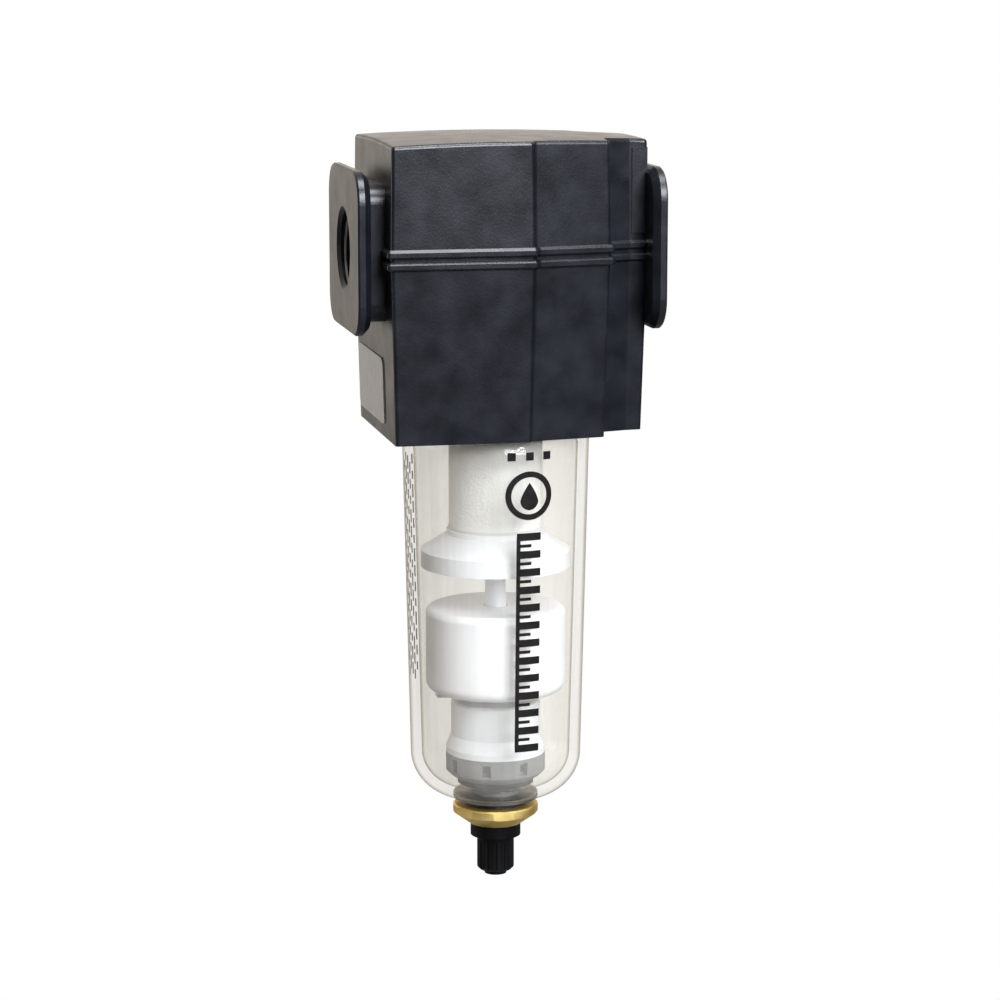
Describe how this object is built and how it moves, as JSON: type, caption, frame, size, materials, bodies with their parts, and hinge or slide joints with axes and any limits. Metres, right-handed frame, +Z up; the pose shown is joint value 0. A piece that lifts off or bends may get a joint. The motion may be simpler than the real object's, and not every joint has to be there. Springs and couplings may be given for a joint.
{
  "type": "compressed air filter",
  "caption": "Modular in-line air filter: die-cast head with two flanged female ports, clear bayonet bowl, sintered element, baffle and automatic float drain.",
  "frame": {"origin": "on the bowl's axis, at the lower end of the drain tip", "axes": "+Z up along the bowl's axis, +X from the inlet port to the outlet port, front is -Y"},
  "size_m": [0.068, 0.05, 0.1683],
  "materials": {
    "head_paint": "satin black enamel on die-cast zinc",
    "plate_foil": "matt foil",
    "clear_bowl": "clear polycarbonate",
    "element_sinter": "sintered, porous",
    "element_gasket": "matt grey rubber",
    "white_moulding": "moulded",
    "float_foam": "smooth skin",
    "grey_moulding": "moulded",
    "black_moulding": "moulded",
    "seal_rubber": "matt",
    "brass_fitting": "turned",
    "plated_steel": "zinc plated"
  },
  "bodies": {
    "head": {"head_casting": "head_paint", "rating_plate": "plate_foil", "swirl_deflector": "black_moulding", "deflector_gasket": "seal_rubber", "element_upper_gasket": "seal_rubber", "filter_element": "element_sinter", "element_lower_gasket": "element_gasket", "element_stud": "plated_steel", "baffle": "white_moulding"},
    "bowl": {"bowl": "clear_bowl", "bowl_o_ring": "seal_rubber", "drain_gasket": "seal_rubber", "drain_base": "grey_moulding", "drain_housing": "white_moulding", "float_guide": "white_moulding", "float_clip": "plated_steel", "vent_screen": "brass_fitting", "pilot_nozzle": "brass_fitting", "lever_pin": "plated_steel", "bowl_washer": "plated_steel", "outer_seal": "seal_rubber", "drain_nut": "brass_fitting", "piston_spring": "plated_steel"},
    "float": {"float": "float_foam"},
    "pilot_lever": {"pilot_lever": "grey_moulding", "pilot_seal": "seal_rubber"},
    "drain_piston": {"drain_piston": "grey_moulding", "piston_o_ring": "seal_rubber", "drain_valve_seal": "seal_rubber"},
    "drain_knob": {"drain_knob": "black_moulding", "knob_o_ring": "seal_rubber"}
  },
  "joints": [
    {"name": "bowl_twist", "type": "hinge", "parent": "head", "child": "bowl", "pos_m": [0, 0, 0.11], "axis": [0, 0, 1], "range_deg": [0, 35]},
    {"name": "float_rise", "type": "slide", "parent": "bowl", "child": "float", "axis": [0, 0, 1], "range_m": [0, 0.005]},
    {"name": "pilot_lever_tilt", "type": "hinge", "parent": "bowl", "child": "pilot_lever", "pos_m": [-0.0059, 0, 0.0424], "axis": [0, 1, 0], "range_deg": [0, 12]},
    {"name": "drain_piston_travel", "type": "slide", "parent": "bowl", "child": "drain_piston", "axis": [0, 0, -1], "range_m": [0, 0.002], "stiffness_N_per_m": 600, "springref_m": -0.002, "deforming": ["piston_spring"]},
    {"name": "drain_knob_turn", "type": "hinge", "parent": "bowl", "child": "drain_knob", "pos_m": [0, 0, 0.01], "axis": [0, 0, 1], "range_deg": [0, 90]}
  ],
  "couplings": [
    {"joint": "pilot_lever_tilt", "follows": "float_rise", "rad_per_m": 41.79}
  ]
}
